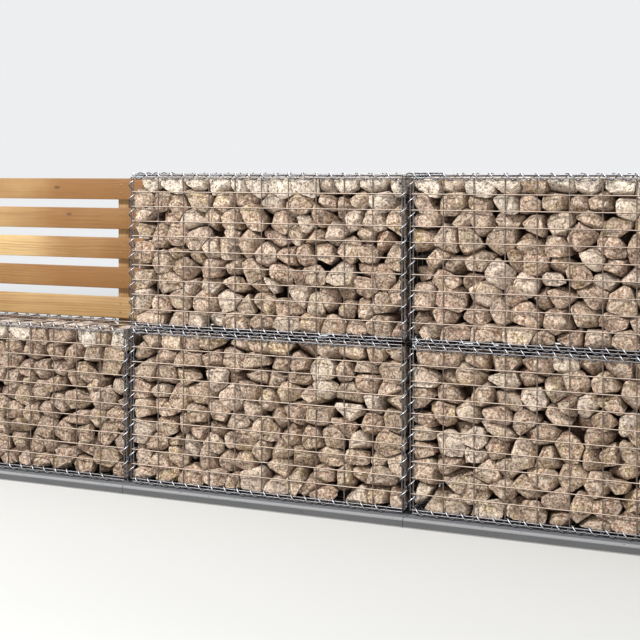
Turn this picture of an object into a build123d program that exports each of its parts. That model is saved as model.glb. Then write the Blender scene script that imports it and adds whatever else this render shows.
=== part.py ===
from math import acos, cos, sqrt
import os

from build123d import *

# A gabion wall of three bays, in millimetres. X runs along the wall, the front faces -Y, and
# Z = 0 is the ground under the kerb. The low left bay carries a timber slat screen, and the
# other two bays are two baskets high.

# A basket is measured between the centres of its front edge wires.
basket_length = 1000.0
basket_depth = 300.0
basket_height = 500.0

# The welded mesh has oblong cells on the front and back, and square ones elsewhere. A lid or
# base that is hidden shows this many cells along it.
mesh_width = 100.0
mesh_height = 50.0
wire = 4.0
weld_gap = 0.3
hidden_cells = 4

# Along each edge, two panels' edge wires lie side by side, laced together by a spiral.
twin_spacing = 10.0
spiral_wire = 3.4
lace_gap = 0.2

# A spiral's first turn starts this share of its pitch late, clear of the wires it crosses.
bottom_lead = 0.16
left_lead = 0.37
right_lead = 0.42

# What is stacked or set side by side stays this far apart.
seat_gap = 0.3

# Flat concrete units carry the baskets, one under each bay.
kerb_depth = 380.0
kerb_height = 30.0
kerb_chamfer = 5.0
kerb_joint = 0.4

# The slat screen stands on the low bay, its posts let down into the stones.
board_count = 5
board_height = 76.0
board_thickness = 20.0
board_gap = 31.0
board_arris = 3.0
screen_lift = 10.0
post_width = 45.0
post_depth = 70.0
post_clearance = 12.0
post_socket = 200.0
cells_beside_post = 1

# The places of the baskets: how many bays from the middle one, and how many rows up.
baskets = {
    "lower_left": (-1, 0),
    "lower_middle": (0, 0),
    "lower_right": (1, 0),
    "upper_middle": (0, 1),
    "upper_right": (1, 1),
}
screened_basket = "lower_left"

# Cells of each panel, and the real spacing of its wires.
columns = round(basket_length / mesh_width)
rows = round(basket_height / mesh_height)
cover_rows = round(basket_depth / mesh_width)
end_rows = round(basket_height / mesh_width)
column_spacing = basket_length / columns
row_spacing = basket_height / rows
cover_width = basket_depth + wire
cover_spacing = cover_width / cover_rows

# Every wire is a three-sided bar, flat against the wires that it is welded to.
bar_height = wire * sqrt(3) / 2
front_plane = (basket_depth + wire) / 2
end_plane = basket_length / 2 + twin_spacing - wire / 2
cover_plane = twin_spacing - wire / 2
cover_reach = cover_plane + bar_height

# A spiral turns in four straight runs. It clears the wires inside it by lace_gap, and its
# mitred corners reach a little past its radius.
spiral_section = spiral_wire / sqrt(3)
spiral_radius = twin_spacing / 2 + bar_height + sqrt(2) * (spiral_section + lace_gap)
long_pitch = column_spacing / 2
upright_pitch = row_spacing
steepest_pitch = max(long_pitch, upright_pitch)
run_rise = steepest_pitch / 4
spiral_bend = acos(run_rise**2 / (run_rise**2 + 2 * spiral_radius**2))
spiral_reach = spiral_radius + spiral_section / cos(spiral_bend / 2)

# Stacking and setting out.
basket_foot = twin_spacing / 2 + spiral_reach
first_row = kerb_height + seat_gap + basket_foot
row_pitch = basket_height + basket_foot + seat_gap + cover_reach
bay_pitch = basket_length + 2 * basket_foot + seat_gap

# The stones fill the basket up to the inner wires, and fall back behind the front spirals.
fill_inset = bar_height + seat_gap
fill_front = front_plane - fill_inset
fill_end = end_plane - fill_inset
fill_cover = cover_plane - fill_inset
spiral_nearness = 2 * fill_inset + wire / 4 - twin_spacing / 2
fill_bevel = sqrt(2) * (spiral_reach + seat_gap) - spiral_nearness

# The posts stand in the rear cells of the lid, one near each end, and the boards lie on the
# posts' front.
post_front = cover_width / 2 - cover_spacing + wire / 2 + post_clearance
post_centre = post_front + post_depth / 2
post_cells = (cells_beside_post, columns - 1 - cells_beside_post)
post_places = [(cell + 0.5) * column_spacing - basket_length / 2 for cell in post_cells]
board_pitch = board_height + board_gap
screen_bottom = basket_height + cover_reach + screen_lift
screen_top = screen_bottom + board_count * board_pitch - board_gap
post_foot = basket_height + fill_cover - post_socket


def bar_section():
    """Draw the section of one bar: flat side on the sketch's X axis, ridge up."""
    Polygon((-wire / 2, 0), (wire / 2, 0), (0, bar_height), align=None)


def welded_panel(length, width, cells_along, cells_across):
    """Make a flat panel about its centre, its long wires outside, towards +Z.

    Every wire is welded to the edge wires that it meets. Inside the edges, the two layers
    pass weld_gap apart.
    """
    with BuildPart() as panel:
        long_ends = Plane(origin=(-(length + wire) / 2, 0, 0), x_dir=(0, 1, 0), z_dir=(1, 0, 0))
        with BuildSketch(long_ends):
            for row in range(cells_across + 1):
                lift = 0 if row in (0, cells_across) else weld_gap
                with Locations(((row / cells_across - 0.5) * width, lift)):
                    bar_section()
        extrude(amount=length + wire)
        cross_ends = Plane(origin=(0, -(width + wire) / 2, 0), x_dir=(1, 0, 0), z_dir=(0, 1, 0))
        with BuildSketch(cross_ends):
            for column in range(cells_along + 1):
                lift = -weld_gap if column in (0, cells_along) else 0
                with Locations(((column / cells_along - 0.5) * length, lift)):
                    bar_section()
        extrude(amount=width + wire)
    return panel.part


def main_wires(length, width, cells, lift):
    """Make a hidden panel's main wires about the centre, fused in one layer lift above XY."""
    with BuildPart() as panel:
        with BuildSketch(Plane.XY.offset(lift)):
            Rectangle(length + wire, width + wire)
            with GridLocations(length / cells, 0, cells, 1):
                Rectangle(length / cells - wire, width - wire, mode=Mode.SUBTRACT)
        extrude(amount=bar_height)
    return panel.part


def spiral(turns, pitch):
    """Make a right-handed spiral up the Z axis, its first corner on +X."""
    corners = []
    for step in range(4 * turns + 1):
        across = (1, 0, -1, 0)[step % 4] * spiral_radius
        along = (0, 1, 0, -1)[step % 4] * spiral_radius
        corners.append((across, along, step * pitch / 4))
    with BuildPart() as binder:
        with BuildLine() as path:
            Polyline(*corners)
        with BuildSketch(Plane(origin=path.line @ 0, z_dir=path.line % 0)):
            RegularPolygon(radius=spiral_section, side_count=3)
        sweep(transition=Transition.RIGHT)
    return binder.part


def front_spirals():
    """Make the spirals on the four edges of a front panel."""
    long_spiral = spiral(2 * columns - 1, long_pitch)
    upright_spiral = spiral(rows - 1, upright_pitch)
    long_start = (long_pitch - basket_length) / 2
    upright_front = wire / 4 - front_plane
    edge_centre = (basket_length + twin_spacing) / 2
    top_edge = Plane(
        origin=(long_start, -front_plane, basket_height + twin_spacing / 2),
        x_dir=(0, 0, -1),
        z_dir=(1, 0, 0),
    )
    bottom_edge = Plane(
        origin=(long_start + bottom_lead * long_pitch, -front_plane, -twin_spacing / 2),
        x_dir=(0, 0, -1),
        z_dir=(1, 0, 0),
    )
    left_edge = Plane(
        origin=(-edge_centre, upright_front, left_lead * upright_pitch),
        x_dir=(-1, 0, 0),
        z_dir=(0, 0, 1),
    )
    right_edge = Plane(
        origin=(edge_centre, upright_front, right_lead * upright_pitch),
        x_dir=(0, 1, 0),
        z_dir=(0, 0, 1),
    )
    with BuildPart() as laced:
        add(long_spiral.moved(top_edge.location))
        add(long_spiral.moved(bottom_edge.location))
        add(upright_spiral.moved(left_edge.location))
        add(upright_spiral.moved(right_edge.location))
    return laced.part


def stone_fill(holds_posts):
    """Make the body of stones in one basket, with sockets where posts stand in it."""
    fill_height = basket_height + 2 * fill_cover
    with BuildPart() as fill:
        with Locations((0, 0, basket_height / 2)):
            Box(2 * fill_end, 2 * fill_front, fill_height)
        front = fill.faces().sort_by(Axis.Y)[0]
        chamfer(front.edges(), length=fill_bevel)
        if holds_posts:
            with BuildSketch(Plane.XY.offset(basket_height + fill_cover)):
                with Locations([(post_x, post_centre) for post_x in post_places]):
                    Rectangle(post_width + 2 * seat_gap, post_depth + 2 * seat_gap)
            extrude(amount=-(post_socket + seat_gap), mode=Mode.SUBTRACT)
    return fill.part


def place(piece, bay, row, node):
    """Move a piece from its basket's own frame to its place in the wall, and save it."""
    placed = piece.moved(Location((bay * bay_pitch, 0, first_row + row * row_pitch)))
    placed.label = node
    export_step(placed, f"parts/{node}.step")


os.makedirs("parts", exist_ok=True)

# Panels that face the open show their whole mesh, and hidden ones only their main wires.
face_panel = welded_panel(basket_length, basket_height, columns, rows)
open_cover = welded_panel(basket_length, cover_width, columns, cover_rows)
hidden_cover = main_wires(basket_length, cover_width, hidden_cells, 0)
open_end = welded_panel(basket_height, basket_depth, end_rows, cover_rows)
hidden_end = main_wires(basket_height, basket_depth, 1, -wire / 4)
front_binders = front_spirals()

front_side = Plane(origin=(0, -front_plane, basket_height / 2), x_dir=(1, 0, 0), z_dir=(0, -1, 0))
back_side = Plane(origin=(0, front_plane, basket_height / 2), x_dir=(-1, 0, 0), z_dir=(0, 1, 0))
top_side = Plane(origin=(0, 0, basket_height + cover_plane), z_dir=(0, 0, 1))
under_side = Plane(origin=(0, 0, -cover_plane), x_dir=(1, 0, 0), z_dir=(0, 0, -1))
left_side = Plane(origin=(-end_plane, 0, basket_height / 2), x_dir=(0, 0, 1), z_dir=(-1, 0, 0))
right_side = Plane(origin=(end_plane, 0, basket_height / 2), x_dir=(0, 0, 1), z_dir=(1, 0, 0))

taken = set(baskets.values())
for name, (bay, row) in baskets.items():
    place(face_panel.moved(front_side.location), bay, row, f"{name}_front_mesh")
    place(face_panel.moved(back_side.location), bay, row, f"{name}_back_mesh")
    lid = hidden_cover if (bay, row + 1) in taken else open_cover
    place(lid.moved(top_side.location), bay, row, f"{name}_lid_mesh")
    place(hidden_cover.moved(under_side.location), bay, row, f"{name}_base_mesh")
    left_end = hidden_end if (bay - 1, row) in taken else open_end
    right_end = hidden_end if (bay + 1, row) in taken else open_end
    with BuildPart() as ends:
        add(left_end.moved(left_side.location))
        add(right_end.moved(right_side.location))
    place(ends.part, bay, row, f"{name}_end_meshes")
    place(front_binders, bay, row, f"{name}_front_spirals")
    place(stone_fill(name == screened_basket), bay, row, f"{name}_stone_fill")

# Kerb units, butted end to end under the bays.
for bay, side in ((-1, "left"), (0, "middle"), (1, "right")):
    with BuildPart() as kerb:
        with Locations((bay * bay_pitch, 0, kerb_height / 2)):
            Box(bay_pitch - kerb_joint, kerb_depth, kerb_height)
        top_edges = kerb.faces().sort_by(Axis.Z)[-1].edges().filter_by(Axis.X)
        chamfer(top_edges, length=kerb_chamfer)
    kerb.part.label = f"kerb_{side}"
    export_step(kerb.part, f"parts/kerb_{side}.step")

# The slat screen: boards on the front of two posts.
screen_bay, screen_row = baskets[screened_basket]
for number in range(1, board_count + 1):
    with BuildPart() as board:
        board_middle = screen_bottom + (number - 1) * board_pitch + board_height / 2
        with Locations((0, post_front - board_thickness / 2, board_middle)):
            Box(basket_length, board_thickness, board_height)
        front = board.faces().sort_by(Axis.Y)[0]
        chamfer(front.edges().filter_by(Axis.X), length=board_arris)
    place(board.part, screen_bay, screen_row, f"screen_board_{number}")

with BuildPart() as posts:
    with BuildSketch(Plane.XY.offset(post_foot)):
        with Locations([(post_x, post_centre) for post_x in post_places]):
            Rectangle(post_width, post_depth)
    extrude(amount=screen_top - post_foot)
place(posts.part, screen_bay, screen_row, "screen_posts")

print(f"bay pitch {bay_pitch:.2f}, row pitch {row_pitch:.2f}, first row {first_row:.2f}")
print(f"spiral radius {spiral_radius:.2f}, reach {spiral_reach:.2f}")
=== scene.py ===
# %% [markdown]
# # A gabion wall with a timber screen
# Five welded wire baskets stand on concrete kerb units and hold broken stone.
# The low basket on the left carries a slatted timber screen.
# The frame gives every piece its place and size, so each step below starts from a box of the frame.

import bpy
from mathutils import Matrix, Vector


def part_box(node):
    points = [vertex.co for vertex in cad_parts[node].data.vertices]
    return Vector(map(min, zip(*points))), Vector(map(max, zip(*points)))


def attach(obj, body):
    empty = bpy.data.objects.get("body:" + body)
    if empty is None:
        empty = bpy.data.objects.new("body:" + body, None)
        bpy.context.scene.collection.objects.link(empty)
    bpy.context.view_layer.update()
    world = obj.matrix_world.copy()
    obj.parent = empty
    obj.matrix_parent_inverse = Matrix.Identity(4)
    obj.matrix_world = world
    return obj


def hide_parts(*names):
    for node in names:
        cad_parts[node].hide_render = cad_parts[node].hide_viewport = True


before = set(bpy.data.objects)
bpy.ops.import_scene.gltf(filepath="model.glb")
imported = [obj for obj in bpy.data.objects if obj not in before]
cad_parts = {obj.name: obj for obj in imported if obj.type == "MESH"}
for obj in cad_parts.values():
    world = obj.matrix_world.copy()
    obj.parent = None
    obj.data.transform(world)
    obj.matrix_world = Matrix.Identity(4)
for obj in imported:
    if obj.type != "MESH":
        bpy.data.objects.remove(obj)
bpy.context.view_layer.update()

import math

import bmesh
import bpy
import numpy as np
from mathutils import Matrix, Vector

# %% [markdown]
# ## The picture
# A long lens far to the right looks along the wall, level with the ground.
# A level camera keeps upright wires upright. The lens is shifted down instead of being tilted.

# %% Camera
CAMERA_PLACE = (2.2945, -4.310, 1.104)
CAMERA_TURN = math.radians(26.57)
CAMERA_LENS = 81.6
CAMERA_SHIFT = -0.2339


def link(thing):
    """Puts an object in the scene and returns it."""
    bpy.context.scene.collection.objects.link(thing)
    return thing


camera = link(bpy.data.objects.new("camera", bpy.data.cameras.new("camera")))
camera.location = CAMERA_PLACE
camera.rotation_euler = (math.radians(90), 0, CAMERA_TURN)
camera.data.lens = CAMERA_LENS
camera.data.shift_y = CAMERA_SHIFT
bpy.context.scene.camera = camera
bpy.context.scene.view_settings.view_transform = "Standard"
print("camera at", CAMERA_PLACE)

# %% [markdown]
# ## Trees of nodes
# A shader is easier to read as an expression than as a list of nodes and links. So two small
# classes stand for a tree and for a socket. Every node comes from `Tree.node`, for shaders and
# for geometry alike, and the methods after it are short names for the nodes used most.

# %% Tree of nodes


class Tree:
    """A node tree, with one method that adds any node and short names for the common ones."""

    def __init__(self, node_tree):
        self.node_tree = node_tree

    def node(self, kind, settings=None, inputs=None, output=0):
        """Adds a node, makes its settings, feeds its sockets and returns one output."""
        node = self.node_tree.nodes.new(kind)
        for name, value in (settings or {}).items():
            if name == "stops":
                self.set_stops(node.color_ramp, value)
            else:
                setattr(node, name, value)
        for name, value in (inputs or {}).items():
            if isinstance(value, Socket):
                self.node_tree.links.new(value.socket, node.inputs[name])
            else:
                node.inputs[name].default_value = value
        return Socket(self, node.outputs[output])

    def set_stops(self, ramp, stops):
        """Gives a colour ramp its stops, as (place, colour) pairs."""
        while len(ramp.elements) < len(stops):
            ramp.elements.new(1.0)
        for element, (place, colour) in zip(ramp.elements, stops):
            element.position = place
            element.color = colour

    def maths(self, operation, *values):
        """A sum on numbers."""
        return self.node("ShaderNodeMath", {"operation": operation}, dict(enumerate(values)))

    def vector(self, operation, *values):
        """A sum on vectors."""
        return self.node("ShaderNodeVectorMath", {"operation": operation}, dict(enumerate(values)))

    def clamp(self, value, low=0.0, high=1.0):
        """A value kept between two limits."""
        return self.node("ShaderNodeClamp", None, {"Value": value, "Min": low, "Max": high})

    def smooth(self, value, low, high):
        """Rises softly from 0 to 1 while the value goes from low to high."""
        settings = {"interpolation_type": "SMOOTHSTEP"}
        inputs = {"Value": value, "From Min": low, "From Max": high}
        return self.node("ShaderNodeMapRange", settings, inputs)

    def blend(self, factor, first, second, mode="MIX"):
        """Mixes two colours."""
        settings = {"data_type": "RGBA", "blend_type": mode}
        return self.node("ShaderNodeMix", settings, {0: factor, 6: first, 7: second}, output=2)

    def coats(self, colour, layers):
        """Lays colours over a first one. Each layer is a mask and the colour that it lets through."""
        for mask, shade in layers:
            colour = self.blend(mask, colour, shade)
        return colour

    def noise(self, place, scale, detail=4.0, roughness=0.5, output=0):
        """A cloudy pattern, as a number, or as a colour from output 1."""
        inputs = {"Vector": place, "Scale": scale, "Detail": detail, "Roughness": roughness}
        return self.node("ShaderNodeTexNoise", None, inputs, output)

    def scaled(self, vector, scale):
        """A vector made longer or shorter."""
        settings = {"operation": "SCALE"}
        return self.node("ShaderNodeVectorMath", settings, {0: vector, "Scale": scale})

    def stretched(self, place, scales):
        """A place whose three axes are stretched apart."""
        return self.node("ShaderNodeMapping", None, {"Vector": place, "Scale": scales})

    def axes(self, vector):
        """The X, Y and Z of a vector."""
        return self.node("ShaderNodeSeparateXYZ", None, {"Vector": vector}).siblings()

    def channels(self, colour):
        """The red, green and blue of a colour."""
        return self.node("ShaderNodeSeparateColor", None, {"Color": colour}).siblings()

    def bump(self, height, distance, strength=1.0):
        """The normal of a surface with this relief."""
        inputs = {"Strength": strength, "Distance": distance, "Height": height}
        return self.node("ShaderNodeBump", None, inputs)

    def object_place(self):
        """A point's place on its own object."""
        return self.node("ShaderNodeTexCoord", None, None, "Object")

    def attribute(self, name, output="Fac"):
        """A number, colour or vector that the mesh carries at each vertex."""
        return self.node("ShaderNodeAttribute", {"attribute_name": name}, None, output)


print("tree ready")

# %% [markdown]
# ## Arithmetic on sockets
# Each operator on a socket adds a Math node to its tree. The reflected forms serve where a plain
# number comes first, so that `1 - mask` works as `mask - 1` does.

# %% Socket arithmetic


class Socket:
    """An output socket that takes part in arithmetic."""

    def __init__(self, tree, socket):
        self.tree = tree
        self.socket = socket

    def sibling(self, name):
        """Another output of the same node."""
        return Socket(self.tree, self.socket.node.outputs[name])

    def siblings(self):
        """Every output of the same node."""
        return [Socket(self.tree, output) for output in self.socket.node.outputs]

    def __add__(self, other):
        return self.tree.maths("ADD", self, other)

    def __radd__(self, other):
        return self.tree.maths("ADD", other, self)

    def __sub__(self, other):
        return self.tree.maths("SUBTRACT", self, other)

    def __rsub__(self, other):
        return self.tree.maths("SUBTRACT", other, self)

    def __mul__(self, other):
        return self.tree.maths("MULTIPLY", self, other)

    def __rmul__(self, other):
        return self.tree.maths("MULTIPLY", other, self)

    def __truediv__(self, other):
        return self.tree.maths("DIVIDE", self, other)

    def __rtruediv__(self, other):
        return self.tree.maths("DIVIDE", other, self)

    def __pow__(self, other):
        return self.tree.maths("POWER", self, other)

    def __rpow__(self, other):
        return self.tree.maths("POWER", other, self)


print("socket arithmetic ready")

# %% [markdown]
# ## Materials
# Every finish is one material with one shader, fed by a tree. Colours are written down as they
# look on a screen, because that is how they are read off real things, and a shader wants them as
# linear light.

# %% Materials


def new_material(name):
    """An empty material, its tree and its surface shader."""
    material = bpy.data.materials.new(name)
    material.use_nodes = True
    tree = Tree(material.node_tree)
    shader = material.node_tree.nodes["Principled BSDF"]
    return material, tree, shader


def feed(tree, shader, **values):
    """Sets or links the shader's sockets. An underscore stands for a space."""
    for name, value in values.items():
        socket = shader.inputs[name.replace("_", " ")]
        if isinstance(value, Socket):
            tree.node_tree.links.new(value.socket, socket)
        else:
            socket.default_value = value


def linear(screen_value):
    """The linear light of a value on a screen."""
    if screen_value > 0.04:
        return ((screen_value + 0.055) / 1.055) ** 2.4
    return screen_value / 12.92


def srgb(red, green, blue):
    """A colour as it looks on a screen, turned into the linear light of a shader."""
    return (linear(red), linear(green), linear(blue), 1.0)


print("materials ready")

# %% [markdown]
# ## Floor and sky
# A pale floor fades into a pale background, so the wall stands alone. The fade is by distance
# from the wall. The camera and shiny wire see the sky at full strength, but it lights the wall
# with only part of that, so that the key light can draw shadows between the stones.

# %% Floor and sky
FLOOR_REACH = 40.0
FLOOR_COLOUR = srgb(0.86, 0.86, 0.85)
SKY_COLOUR = srgb(0.93, 0.935, 0.94)
SKY_LIGHT = 0.47
FADE_START, FADE_END = 3.5, 11.0

floor_mesh = bpy.data.meshes.new("floor")
floor_corners = [(-FLOOR_REACH, -FLOOR_REACH, 0), (FLOOR_REACH, -FLOOR_REACH, 0)]
floor_corners += [(FLOOR_REACH, FLOOR_REACH, 0), (-FLOOR_REACH, FLOOR_REACH, 0)]
floor_mesh.from_pydata(floor_corners, [], [(0, 1, 2, 3)])
floor = link(bpy.data.objects.new("floor", floor_mesh))
floor_material, tree, shader = new_material("pale_floor")
distance = tree.vector("LENGTH", tree.object_place()).sibling("Value")
fade = tree.smooth(distance, FADE_START, FADE_END)
feed(tree, shader, Base_Color=FLOOR_COLOUR, Roughness=0.9)
sky_glow = tree.node("ShaderNodeEmission", None, {"Color": SKY_COLOUR, "Strength": 1.0})
mixed = tree.node("ShaderNodeMixShader", None, {0: fade, 2: sky_glow})
tree.node_tree.links.new(shader.outputs[0], mixed.socket.node.inputs[1])
surface = tree.node_tree.nodes["Material Output"].inputs["Surface"]
tree.node_tree.links.new(mixed.socket, surface)
floor_mesh.materials.append(floor_material)

world = bpy.data.worlds.new("sky")
bpy.context.scene.world = world
world.use_nodes = True
world_tree = Tree(world.node_tree)
background = world.node_tree.nodes["Background"]
rays = world_tree.node("ShaderNodeLightPath", None, None, "Is Camera Ray")
seen = rays
for ray in ("Is Glossy Ray", "Is Transmission Ray"):
    seen = world_tree.maths("MAXIMUM", seen, rays.sibling(ray))
strength = seen * (1.0 - SKY_LIGHT) + SKY_LIGHT
background.inputs["Color"].default_value = SKY_COLOUR
world.node_tree.links.new(strength.socket, background.inputs["Strength"])
print("floor and sky ready")

# %% [markdown]
# ## Lights
# One light stands high at the left, in place of the sun. It is small enough for clear shadows
# and large enough for soft edges. Two weak ones fill the right end and the back.

# %% Lights


def soft_light(name, place, size, power, aim=(0, 0, 0.5)):
    """A square light that points at the wall."""
    light = link(bpy.data.objects.new(name, bpy.data.lights.new(name, "AREA")))
    light.data.size = size
    light.data.energy = power
    light.location = place
    light.rotation_euler = (Vector(aim) - Vector(place)).to_track_quat("-Z", "Y").to_euler()


soft_light("key_light", (-4.4, -6.6, 7.6), 1.3, 1270)
soft_light("fill_light", (4.5, -4.5, 2.5), 3.0, 55)
soft_light("back_light", (-1.0, 5.0, 4.0), 3.0, 180)
print("lights ready")

# %% [markdown]
# ## Pieces
# Each finished mesh becomes one piece: it gets its finish, rides on the wall and hides the plain
# solids that it stands for.

# %% Piece helper


def triangles(mesh):
    """How many triangles a mesh has."""
    return sum(len(face.vertices) - 2 for face in mesh.polygons)


def add_piece(name, mesh, material, slot, *nodes):
    """Dresses a mesh, puts it in the scene and lets it stand for nodes of the frame."""
    mesh.name = name
    mesh.materials.clear()
    mesh.materials.append(material)
    piece = link(bpy.data.objects.new(name, mesh))
    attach(piece, "root")
    if nodes:
        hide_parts(*nodes)
    print(f"{name}: {triangles(mesh)} triangles")


ATTRIBUTE_KINDS = {1: ("FLOAT", "value"), 3: ("FLOAT_VECTOR", "vector"), 4: ("FLOAT_COLOR", "color")}


def store(mesh, name, values):
    """Writes a number, a vector or a colour for each vertex of a mesh, one row each."""
    kind, field = ATTRIBUTE_KINDS[values.shape[1]]
    mesh.attributes.new(name, kind, "POINT").data.foreach_set(field, values.ravel())


def joined(meshes):
    """One mesh made of several."""
    gathered = bmesh.new()
    for mesh in meshes:
        gathered.from_mesh(mesh)
    result = bpy.data.meshes.new("joined")
    gathered.to_mesh(result)
    gathered.free()
    return result


def moved(mesh, matrix):
    """A copy of a mesh in another place."""
    copy = mesh.copy()
    copy.transform(matrix)
    return copy


print("piece helper ready")

# %% [markdown]
# ## Zinc-coated wire
# The mesh and its binders are steel wire with a zinc coat: grey metal with a fine mottle.
# Level wires gather stone dust and look sandy, upright ones are washed clean and look darker, and
# the frame wires along the edges stay bluish. The springs' turns are painted bright in front of the
# panels and dark behind them, as painted light and shade. The upper side of a wire is painted pale,
# partly as dust and partly as a highlight, and its underside is painted dark, as shade. The wires
# of hidden panels are painted darker, as shade. Each wire carries its wear and painted shade as an
# attribute, and one function makes both finishes.

# %% Wire finish
EDGE_WEAR, UPRIGHT_WEAR, LEVEL_WEAR = 0.0, 0.4, 1.0
# Colours along the wear: of the wire itself, and of its upper side, painted pale partly as dust
# and partly as a highlight, from least worn to most.
MESH_ZINC = [
    (EDGE_WEAR, srgb(0.60, 0.585, 0.59)),
    (UPRIGHT_WEAR, srgb(0.60, 0.53, 0.485)),
    (LEVEL_WEAR, srgb(0.63, 0.55, 0.49)),
]
# The springs' zinc, painted dark behind the panels as shade and bright in front as light.
SPRING_ZINC = [(0.0, srgb(0.42, 0.42, 0.45)), (1.0, srgb(0.80, 0.82, 0.86))]
MESH_DUSTY_LIT_TOPS = (srgb(0.52, 0.52, 0.54), srgb(0.86, 0.77, 0.69))
SPRING_LIT_TOPS = (srgb(0.50, 0.50, 0.52), srgb(0.87, 0.87, 0.88))
MESH_METAL, SPRING_METAL = (0.65, 0.15), (0.6, 0.6)
MESH_ROUGHNESS, SPRING_ROUGHNESS = 0.36, 0.28
PAINTED_UNDERSIDE_SHADE, WEATHERED = srgb(0.13, 0.11, 0.10), srgb(0.50, 0.46, 0.42)
# How far a wire's surface looks up where its pale top begins and is full, partly dust and partly
# a painted highlight, and where the painted shade of its underside does.
DUST_AND_HIGHLIGHT_SLOPE, UNDERSIDE_SHADE_SLOPE = (0.15, 0.55), (0.22, -0.18)
# How far from the middle of the wall a spring's turns begin to be painted bright, as light, and
# are painted bright in full. Behind that they are painted dark, as shade.
TURN_BACK, TURN_FRONT = 0.149, 0.157


def wire_wear(tree, place):
    """The wear and painted shade that each wire of a panel carries."""
    return tree.attribute("wire_wear")


def spring_painted_light(tree, place):
    """Painted light and shade: a spring's turns are bright past the panels, and dark behind them."""
    _, out, _ = tree.axes(place)
    return tree.smooth(tree.maths("ABSOLUTE", out), TURN_BACK, TURN_FRONT)


def zinc_finish(name, stops, lit_tops, metal, roughness, wear_and_light_of):
    """A zinc coat. Its colour, its upper side's colour and its metal go with wear and painted light.
    """
    material, tree, shader = new_material(name)
    place = tree.object_place()
    wear = wear_and_light_of(tree, place)
    metallic = wear * (metal[1] - metal[0]) + metal[0]
    lit_top_colour = tree.blend(wear, lit_tops[0], lit_tops[1])
    mottle = tree.noise(place, 90.0, 3.0)
    weather = tree.smooth(tree.noise(place, 7.0, 2.0), 0.42, 0.66)
    colour = tree.node("ShaderNodeValToRGB", {"stops": stops}, {"Fac": wear})
    _, _, upward = tree.axes(tree.node("ShaderNodeNewGeometry", None, None, "Normal"))
    # Painted light: the upper side is pale, partly dust and partly a highlight. Painted shade: the
    # underside is dark.
    dust_and_highlight = tree.smooth(upward, *DUST_AND_HIGHLIGHT_SLOPE) * 0.85
    underside_shade = tree.smooth(upward, *UNDERSIDE_SHADE_SLOPE) * 0.9
    colour = tree.coats(colour, [(dust_and_highlight, lit_top_colour), (underside_shade, PAINTED_UNDERSIDE_SHADE)])
    colour = tree.blend(1.0, colour, mottle * 0.5 + 0.75, "MULTIPLY")
    colour = tree.blend(weather * 0.3, colour, WEATHERED)
    feed(tree, shader, Base_Color=colour, Metallic=metallic, Roughness=mottle * 0.2 + roughness)
    return material


mesh_looks = (MESH_ZINC, MESH_DUSTY_LIT_TOPS, MESH_METAL, MESH_ROUGHNESS)
spring_looks = (SPRING_ZINC, SPRING_LIT_TOPS, SPRING_METAL, SPRING_ROUGHNESS)
wire_material = zinc_finish("weathered_zinc", *mesh_looks, wire_wear)
spring_material = zinc_finish("bright_zinc", *spring_looks, spring_painted_light)
print("wire finishes ready")

# %% [markdown]
# ## Where the baskets stand
# A basket is known by its front panel and its fill. Its origin is the middle of the basket at
# the height of the lowest front wire.

# %% Basket places
WIRE = 0.004
FILL = "_stone_fill"
LOW_BASKET = "lower_left"
BASKETS = sorted(name.removesuffix(FILL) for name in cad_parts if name.endswith(FILL))


def basket_origin(basket):
    """The middle of a basket, at its lowest front wire."""
    front_low, front_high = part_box(basket + "_front_mesh")
    fill_low, fill_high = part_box(basket + FILL)
    across = (front_low.x + front_high.x) / 2
    deep = (fill_low.y + fill_high.y) / 2
    return Vector((across, deep, front_low.z + WIRE / 2))


origins = {basket: basket_origin(basket) for basket in BASKETS}
for basket, origin in origins.items():
    print(basket, [round(c, 4) for c in origin])

# %% [markdown]
# ## Geometry trees
# Wires, springs and screws repeat by a rule, so geometry trees make them. A tree has named inputs
# for its sizes, and it is run once for each size that is needed. What it makes is kept as a plain
# mesh, with its instances made real, so that nothing is left to work out later.

# %% Geometry trees


def new_geometry_tree(name, lengths, counts):
    """An empty geometry tree, with named inputs that are lengths and ones that are counts."""
    group = bpy.data.node_groups.new(name, "GeometryNodeTree")
    for input_name in lengths:
        group.interface.new_socket(input_name, in_out="INPUT", socket_type="NodeSocketFloat")
    for input_name in counts:
        group.interface.new_socket(input_name, in_out="INPUT", socket_type="NodeSocketInt")
    group.interface.new_socket("Geometry", in_out="OUTPUT", socket_type="NodeSocketGeometry")
    tree = Tree(group)
    source = group.nodes.new("NodeGroupInput")
    names = lengths + counts
    return tree, {input_name: Socket(tree, source.outputs[input_name]) for input_name in names}


def end_tree(tree, geometry, material, smooth=True):
    """Turns instances into one mesh, gives it its material and ends the tree."""
    solid = tree.node("GeometryNodeRealizeInstances", None, {"Geometry": geometry})
    inputs = {"Geometry": solid, "Shade Smooth": smooth}
    shaded = tree.node("GeometryNodeSetShadeSmooth", None, inputs)
    dressed = tree.node("GeometryNodeSetMaterial", None, {"Geometry": shaded, "Material": material})
    result = tree.node_tree.nodes.new("NodeGroupOutput")
    tree.node_tree.links.new(dressed.socket, result.inputs["Geometry"])


RIM_ANGLE = math.radians(70)


def grown(tree, inputs):
    """Runs a geometry tree once and returns the plain mesh that it makes, with crisp rims."""
    host = link(bpy.data.objects.new("host", bpy.data.meshes.new("host")))
    modifier = host.modifiers.new("tree", "NODES")
    modifier.node_group = tree.node_tree
    for item in tree.node_tree.interface.items_tree:
        if item.in_out == "INPUT":
            modifier[item.identifier] = inputs[item.name]
    graph = bpy.context.evaluated_depsgraph_get()
    mesh = bpy.data.meshes.new_from_object(host.evaluated_get(graph), depsgraph=graph)
    bpy.data.objects.remove(host)
    mesh.set_sharp_from_angle(angle=RIM_ANGLE)
    return mesh


print("geometry trees ready")

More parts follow.
